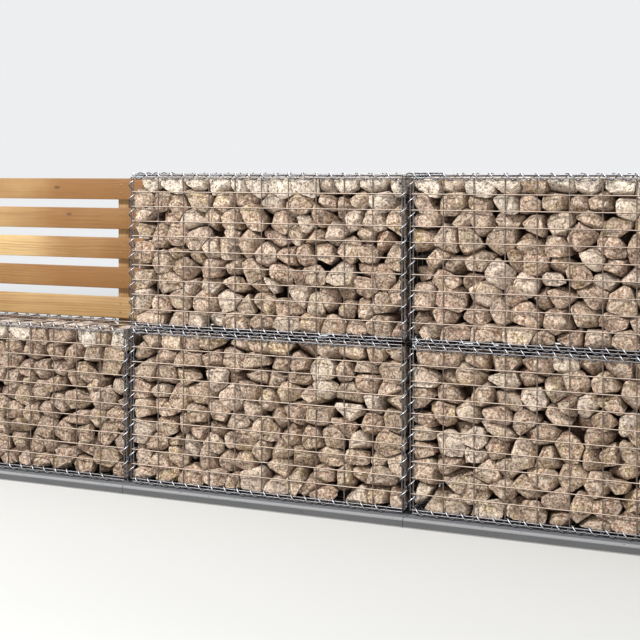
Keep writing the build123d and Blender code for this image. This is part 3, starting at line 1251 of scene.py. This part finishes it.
# %% Shade in the fill
SHELTER_START, SHELTER_DEPTH = 0.012, 0.045
SAME_PLACE, NEXT_BAY = 0.1, 1.5


def open_walls(basket):
    """Whether each wall of a basket faces the open, as low and high sides of X, Y and Z."""
    place = origins[basket]
    offsets = [np.array(other - place) for other in origins.values() if other is not place]
    level = [x for x, _, z in offsets if abs(z) < SAME_PLACE and abs(x) < NEXT_BAY]
    stacked = any(abs(x) < SAME_PLACE and z > 0 for x, _, z in offsets)
    low = np.array([not any(x < 0 for x in level), True, False])
    high = np.array([not any(x > 0 for x in level), True, not stacked])
    return low, high


def sheltered(basket, vertices, low, high):
    """How deep in the shade of the fill each vertex lies, from 0 to 1."""
    low_open, high_open = open_walls(basket)
    from_low = np.where(low_open, vertices - low, np.inf)
    from_high = np.where(high_open, high - vertices, np.inf)
    depth = np.minimum(from_low, from_high).min(-1)
    return ((depth - SHELTER_START) / SHELTER_DEPTH).clip(0, 1)


for basket in BASKETS:
    print(basket, "open walls:", *(walls.tolist() for walls in open_walls(basket)))

# %% [markdown]
# ## Shaping the stones
# Every vertex of a ball moves out along its direction until the stone ends there. Directions
# that pass close to an arris are turned on to it first, so that few faces still draw crisp ones.
# The vertices also learn what the finish asks: how near an arris is, and which tone the broken
# face has.

# %% Shape of the stones
OUTWARD_PULL = 0.4
SNAP = 0.42
ROUGHNESS = 0.0007
GRAIN_REACH = 5
LEAST_SLANT = 1e-6


def wall_reach(directions, middles, low, high):
    """How far a stone can reach before it meets a wall of the basket."""
    room = np.where(directions > 0, high - middles[:, None], middles[:, None] - low)
    return (room / np.abs(directions).clip(LEAST_SLANT)).min(-1)


def bulging_triangles(vertices, middles, quads):
    """Splits each quad of each stone along the diagonal that stands further out."""
    corners = vertices[:, quads] - middles[:, None, None]
    first = np.linalg.norm(corners[:, :, 0] + corners[:, :, 2], axis=-1)
    second = np.linalg.norm(corners[:, :, 1] + corners[:, :, 3], axis=-1)
    one_way = quads[:, [0, 1, 2, 0, 2, 3]]
    other_way = quads[:, [0, 1, 3, 1, 2, 3]]
    return np.where((first > second)[..., None], one_way, other_way).reshape(len(vertices), -1, 3)


def shaped(rng, stones, ball, quads, divisions, low, high):
    """Stones with the same ball: vertices and faces, and what the finish asks of each vertex."""
    middles = stones["middle"]
    pull = stones["way_out"][:, None] * OUTWARD_PULL
    directions = unit(np.einsum("sij,vj->svi", stones["turn"], ball) + pull)
    directions = snapped(directions, stones, SNAP * math.pi / 2 / divisions)
    closeness = closeness_along(directions, stones)
    reach = soft_reach(closeness, stones) * stones["swell"][:, None]
    reach = reach + rng.normal(0, ROUGHNESS, reach.shape)
    reach = np.minimum(reach, wall_reach(directions, middles, low, high))
    offsets = directions * reach[..., None]
    vertices = middles[:, None] + offsets
    grain_start = rng.uniform(-GRAIN_REACH, GRAIN_REACH, (len(middles), 1, 3))
    total = closeness.sum(-1)
    arris = 1 - closeness.max(-1) / total
    tone = (closeness * stones["tones"][:, None, :]).sum(-1) / total
    return {
        "vertices": vertices,
        "faces": bulging_triangles(vertices, middles, quads),
        "grain": np.einsum("sji,svj->svi", stones["turn"], offsets) + grain_start,
        "look": np.broadcast_to(stones["look"][:, None], vertices.shape),
        "wear": np.stack([arris, tone], axis=-1),
    }


print("shape of the stones ready")

# %% [markdown]
# ## The fill of each basket
# All stones of a basket go in one mesh, which stands for the plain block of fill in the frame.
# Each basket has its own seed, so no two are alike, and every run gives the same wall.

# %% Stones of the baskets
CREASE = math.radians(28)
FIRST_SEED = 11


def stones_mesh(basket, seed):
    """The stones of a basket, in one mesh with the attributes that the finish reads."""
    rng = np.random.default_rng(seed)
    low, high = (np.array(corner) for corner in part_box(basket + FILL))
    stones = stone_table(rng, basket, low, high)
    columns = {}
    start = 0
    for divisions, (ball, quads) in balls.items():
        chosen = picked(stones, stones["divisions"] == divisions)
        part = shaped(rng, chosen, ball, quads, divisions, low, high)
        count = len(chosen["middle"])
        part["faces"] += (start + np.arange(count) * len(ball))[:, None, None]
        start += count * len(ball)
        for name, values in part.items():
            columns.setdefault(name, []).append(values.reshape(-1, values.shape[-1]))
    table = {name: np.concatenate(values) for name, values in columns.items()}
    full = np.ones(start)
    shelter = sheltered(basket, table["vertices"], low, high)
    mesh = bpy.data.meshes.new(basket)
    mesh.from_pydata(table["vertices"].tolist(), [], table["faces"].tolist())
    mesh.shade_smooth()
    mesh.set_sharp_from_angle(angle=CREASE)
    store(mesh, "grain_place", table["grain"])
    store(mesh, "stone_look", np.column_stack([table["look"], full]))
    store(mesh, "stone_wear", np.column_stack([table["wear"], shelter, full]))
    return mesh


for seed, basket in enumerate(BASKETS, FIRST_SEED):
    stones = stones_mesh(basket, seed)
    add_piece(basket + "_stones", stones, stone_material, "broken_stone", basket + FILL)

# %% [markdown]
# ## Cast concrete
# The kerb units are plain cast concrete, mid grey with fine pores. Their top arris is pale, partly
# rubbed and partly a painted highlight, lime has dried in a thin line along the foot, and dirt sits
# in the joint between two units. All three follow from the place on the unit, so the plain solids
# need no more than this finish.

# %% Concrete finish
kerbs = {name: node for name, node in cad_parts.items() if name.startswith("kerb_")}
kerb_low, kerb_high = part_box("kerb_middle")
next_kerb_low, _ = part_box("kerb_right")
KERB_PITCH = next_kerb_low.x - kerb_low.x
CORNER = kerb_high.y + kerb_high.z
ARRIS_WIDTH = 0.006
TOP_DEPTH = 0.001
FOOT_LINE, FOOT_BLUR = 0.004, 0.001
JOINT_DIRT = 0.0025
PORE_DEPTH = 0.002

concrete_material, tree, shader = new_material("cast_concrete")
place = tree.object_place()
along, deep, up = tree.axes(place)
blotch = tree.noise(place, 6.0, 4.0)
grit = tree.noise(place, 260.0, 4.0, 0.7)
pores = tree.smooth(tree.noise(place, 120.0, 2.0), 0.33, 0.26)
out = tree.maths("ABSOLUTE", deep)
# Painted highlight: the top arris is paler, partly rubbed and partly as light from above.
arris = tree.smooth(out + up, CORNER - ARRIS_WIDTH * 1.6, CORNER - ARRIS_WIDTH)
foot = tree.smooth(up + grit * 0.002, FOOT_LINE + FOOT_BLUR, FOOT_LINE)
to_joint = tree.maths("ABSOLUTE", tree.maths("FRACT", along / KERB_PITCH + 8.0) - 0.5) * KERB_PITCH
joint = tree.smooth(to_joint + grit * 0.001, JOINT_DIRT, JOINT_DIRT * 0.5)
top = tree.smooth(up, kerb_high.z - TOP_DEPTH, kerb_high.z)
layers = [
    (top * 0.5, srgb(0.56, 0.57, 0.59)),
    (grit * 0.4, srgb(0.34, 0.34, 0.34)),
    (arris * 0.7, srgb(0.64, 0.64, 0.64)),
    (foot * 0.7, srgb(0.66, 0.64, 0.62)),
    (pores * 0.7, srgb(0.22, 0.22, 0.22)),
    (joint * 0.8, srgb(0.18, 0.17, 0.16)),
]
colour = tree.blend(blotch, srgb(0.32, 0.325, 0.33), srgb(0.395, 0.395, 0.40))
colour = tree.coats(colour, layers)
relief = tree.bump(grit * 0.4 - pores, PORE_DEPTH, 0.5)
feed(tree, shader, Base_Color=colour, Roughness=0.88, Normal=relief)
for name, node in kerbs.items():
    node.data.materials.clear()
    node.data.materials.append(concrete_material)
print("concrete finish on", sorted(kerbs))

# %% [markdown]
# ## Planed pine
# The screen is planed pine under an oil stain, and no two boards took it alike.
# Sawn rings make the figure: the finish measures how far a point lies from the heart of a log,
# and each board was cut from another place in it. Knots are rare dark ovals, and the end grain
# drinks more oil, so it is darker.

# %% Timber finish
RING_WIDTH = 0.0105
HEART_WOBBLE = 0.05
LEAST_KNOT = 0.74
WOOD_RELIEF = 0.0015
# How the grain, the fibres and the knots stretch along the board, across it and into it.
DRAWN, FIBRE_SHAPE, KNOT_SHAPE = (0.10, 1.0, 1.0), (0.03, 1.0, 1.0), (8.0, 18.0, 0.0)

timber_material, tree, shader = new_material("planed_pine")
place = tree.attribute("grain_place", "Vector")
tone, fade, end_grain = tree.channels(tree.attribute("timber_look", "Color"))
drawn = tree.stretched(place, DRAWN)
wobble = tree.scaled(tree.noise(drawn, 14.0, 5.0, 0.55, output=1), HEART_WOBBLE)
along, across, deep = tree.axes(tree.vector("ADD", drawn, wobble))
from_heart = (across * across + deep * deep) ** 0.5
rings = tree.maths("SINE", from_heart * (2 * math.pi / RING_WIDTH)) * 0.5 + 0.5
late_wood = tree.smooth(rings, 0.25, 1.0) * tree.smooth(tree.noise(drawn, 22.0, 2.0), 0.35, 0.65)
fibre_place = tree.stretched(place, FIBRE_SHAPE)
fibre = tree.noise(fibre_place, 230.0, 4.0, 0.6)
streaks = tree.smooth(tree.noise(fibre_place, 38.0, 3.0, 0.6), 0.52, 0.68)
cloud = tree.noise(place, 5.0, 3.0, 0.5)
from_start = along * (1 / DRAWN[0]) - tree.attribute("timber_start")
# Painted light: the left part of each board is paler by its fade, as lit from the left.
painted_light_left = tree.smooth(from_start, 0.86, 0.60)
depth_of_tone = tree.clamp(tone - fade * painted_light_left + (cloud - 0.5) * 0.6)
knot_inputs = {"Vector": tree.stretched(place, KNOT_SHAPE), "Scale": 1.0}
knots = tree.node("ShaderNodeTexVoronoi", None, knot_inputs, "Distance")
knot_pick, _, _ = tree.channels(knots.sibling("Color"))
knot = tree.smooth(knots, 0.15, 0.07) * tree.smooth(knot_pick, LEAST_KNOT, LEAST_KNOT + 0.02)

colour = tree.blend(depth_of_tone, srgb(0.80, 0.67, 0.46), srgb(0.555, 0.38, 0.18))
colour = tree.blend(late_wood * 0.4, colour, srgb(0.50, 0.32, 0.15))
colour = tree.blend(streaks * 0.4, colour, srgb(0.54, 0.36, 0.18))
colour = tree.blend(1.0, colour, fibre * 0.35 + 0.78, "MULTIPLY")
colour = tree.blend(knot * 0.8, colour, srgb(0.30, 0.18, 0.09))
colour = tree.blend(end_grain * 0.5, colour, srgb(0.45, 0.30, 0.17))
relief = tree.bump(fibre * 0.5 + late_wood * 0.5, WOOD_RELIEF, 0.35)
feed(tree, shader, Base_Color=colour, Roughness=fibre * 0.2 + 0.5, Normal=relief)
print("timber finish ready")

# %% [markdown]
# ## The slatted screen
# Five boards lie across two posts. All are sawn, planed and eased along every arris, so each is a
# box with a small rounded edge. Each carries the place of its grain, from the heart of its log.

# %% Boards and posts
EASED_ARRIS = 0.0025
ARRIS_STEPS = 3
TIMBER_CREASE = math.radians(35)
# How brown each board is, and how much its left part is painted paler, as light from the left,
# from the lowest board up.
BOARD_LOOKS = [(0.42, 0.10), (1.05, 0.15), (0.92, 1.00), (0.98, 0.35), (1.00, 0.30)]
POST_LOOK = (0.60, 0.0)
LOG_LENGTH = 9
TIMBER_SEED = 5
HEART_LEAST, HEART_MOST = 0.03, 0.09
AT_END = 1e-5


def eased_box(low, high):
    """A box with rounded arrises."""
    box = bmesh.new()
    bmesh.ops.create_cube(box, size=1)
    bmesh.ops.scale(box, vec=high - low, verts=box.verts)
    bmesh.ops.translate(box, vec=(low + high) / 2, verts=box.verts)
    easing = {"offset": EASED_ARRIS, "segments": ARRIS_STEPS, "profile": 0.5, "affect": "EDGES"}
    bmesh.ops.bevel(box, geom=box.edges[:], **easing)
    bmesh.ops.triangulate(box, faces=box.faces[:])
    mesh = bpy.data.meshes.new("timber")
    box.to_mesh(mesh)
    box.free()
    mesh.shade_smooth()
    mesh.set_sharp_from_angle(angle=TIMBER_CREASE)
    return mesh


def timber(rng, low, high, look):
    """One length of timber with its grain. The grain runs along its longest side."""
    mesh = eased_box(Vector(low), Vector(high))
    places = np.array([vertex.co for vertex in mesh.vertices]) - np.array(low)
    size = np.array(high) - np.array(low)
    order = np.argsort(-size)
    start = rng.uniform(0, LOG_LENGTH)
    turn = rng.uniform(0, 2 * math.pi)
    reach = rng.uniform(HEART_LEAST, HEART_MOST)
    grain = places[:, order] + np.array([start, math.cos(turn) * reach, math.sin(turn) * reach])
    at_end = np.minimum(places, size - places)[:, order[0]] < AT_END
    full = np.ones(len(grain))
    # The fade is a painted light that pales the left part of the board.
    tone, fade = look
    store(mesh, "grain_place", grain)
    store(mesh, "timber_look", np.column_stack([full * tone, full * fade, at_end, full]))
    store(mesh, "timber_start", full[:, None] * start)
    return mesh


rng = np.random.default_rng(TIMBER_SEED)
boards = sorted(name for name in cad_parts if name.startswith("screen_board_"))
for name, look in zip(boards, BOARD_LOOKS):
    board = timber(rng, *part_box(name), look)
    add_piece(name + "_pine", board, timber_material, "planed_timber", name)
posts = joined([timber(rng, low, high, POST_LOOK) for low, high in post_boxes()])
add_piece("screen_posts_pine", posts, timber_material, "planed_timber", "screen_posts")

# %% [markdown]
# ## Screws
# Two screws hold each board to each post, one over the other. Their zinc is passivated yellow,
# so they hardly show on the pine.
# One head repeats three times over: in a pair, at every board and at every post. So a geometry
# tree makes the head and sets it on three lines of points, one inside the other.

# %% Screw finish
screw_material, tree, shader = new_material("yellow_zinc")
mottle = tree.noise(tree.object_place(), 300.0, 3.0)
screw_colour = tree.blend(mottle, srgb(0.50, 0.38, 0.22), srgb(0.66, 0.53, 0.34))
feed(tree, shader, Base_Color=screw_colour, Metallic=0.7, Roughness=mottle * 0.2 + 0.3)
print("screw finish ready")

# %% Screw tree
HEAD_SIDES = 14
# Shares of the head's width at its face, at its foot and across its socket, and the socket's
# depth as a share of the head's height.
FACE_SHARE, FOOT_SHARE, SOCKET_SHARE, SOCKET_DEPTH = 0.38, 0.5, 0.5, 0.7

screw_tree, inputs = new_geometry_tree(
    "screen_screws",
    lengths=("Post Spacing", "Board Spacing", "Screw Spacing", "Head Width", "Head Height"),
    counts=("Posts", "Boards"),
)


def repeated(tree, thing, count, x=0.0, z=0.0):
    """A thing set on every point of a line, with steps along X or up Z."""
    line_inputs = {"Count": count, "Offset": point(tree, x, 0.0, z)}
    line = tree.node("GeometryNodeMeshLine", {"mode": "OFFSET"}, line_inputs)
    return tree.node("GeometryNodeInstanceOnPoints", None, {"Points": line, "Instance": thing})


head_inputs = {
    "Vertices": HEAD_SIDES,
    "Radius Top": inputs["Head Width"] * FACE_SHARE,
    "Radius Bottom": inputs["Head Width"] * FOOT_SHARE,
    "Depth": inputs["Head Height"],
}
head = screw_tree.node("GeometryNodeMeshCone", None, head_inputs)
inset_inputs = {"Mesh": head, "Selection": head.sibling("Top"), "Offset Scale": 0.0}
inset = screw_tree.node("GeometryNodeExtrudeMesh", None, inset_inputs)
rim = inset.sibling("Top")
narrow_inputs = {"Geometry": inset, "Selection": rim, "Scale": SOCKET_SHARE}
narrowed = screw_tree.node("GeometryNodeScaleElements", None, narrow_inputs)
depth = inputs["Head Height"] * -SOCKET_DEPTH
socket_inputs = {"Mesh": narrowed, "Selection": rim, "Offset Scale": depth}
socketed = screw_tree.node("GeometryNodeExtrudeMesh", None, socket_inputs)
turn_inputs = {"Geometry": socketed, "Rotation": (math.radians(90), 0.0, 0.0)}
turned = screw_tree.node("GeometryNodeTransform", None, turn_inputs)
pair = repeated(screw_tree, turned, 2, z=inputs["Screw Spacing"])
column = repeated(screw_tree, pair, inputs["Boards"], z=inputs["Board Spacing"])
screws = repeated(screw_tree, column, inputs["Posts"], x=inputs["Post Spacing"])
end_tree(screw_tree, screws, screw_material, smooth=False)
print("screw tree:", len(screw_tree.node_tree.nodes), "nodes")

# %% Screws of the screen
HEAD_WIDTH, HEAD_HEIGHT = 0.0075, 0.0012
SCREW_SPACING = 0.030
post_middles = sorted((low[0] + high[0]) / 2 for low, high in post_boxes())
first_low, first_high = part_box(boards[0])
second_low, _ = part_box(boards[1])
screw_sizes = {
    "Posts": len(post_middles),
    "Post Spacing": float(post_middles[1] - post_middles[0]),
    "Boards": len(boards),
    "Board Spacing": second_low.z - first_low.z,
    "Screw Spacing": SCREW_SPACING,
    "Head Width": HEAD_WIDTH,
    "Head Height": HEAD_HEIGHT,
}
screws = grown(screw_tree, screw_sizes)
lowest = (first_low.z + first_high.z - SCREW_SPACING) / 2
screws.transform(Matrix.Translation((post_middles[0], first_low.y, lowest)))
add_piece("screen_screws", screws, screw_material, "galvanised_wire")

# %% [markdown]
# ## Last update
# The scene is brought up to date. The dressed wall may not grow past the frame's box.

# %% Update the scene
bpy.context.view_layer.update()
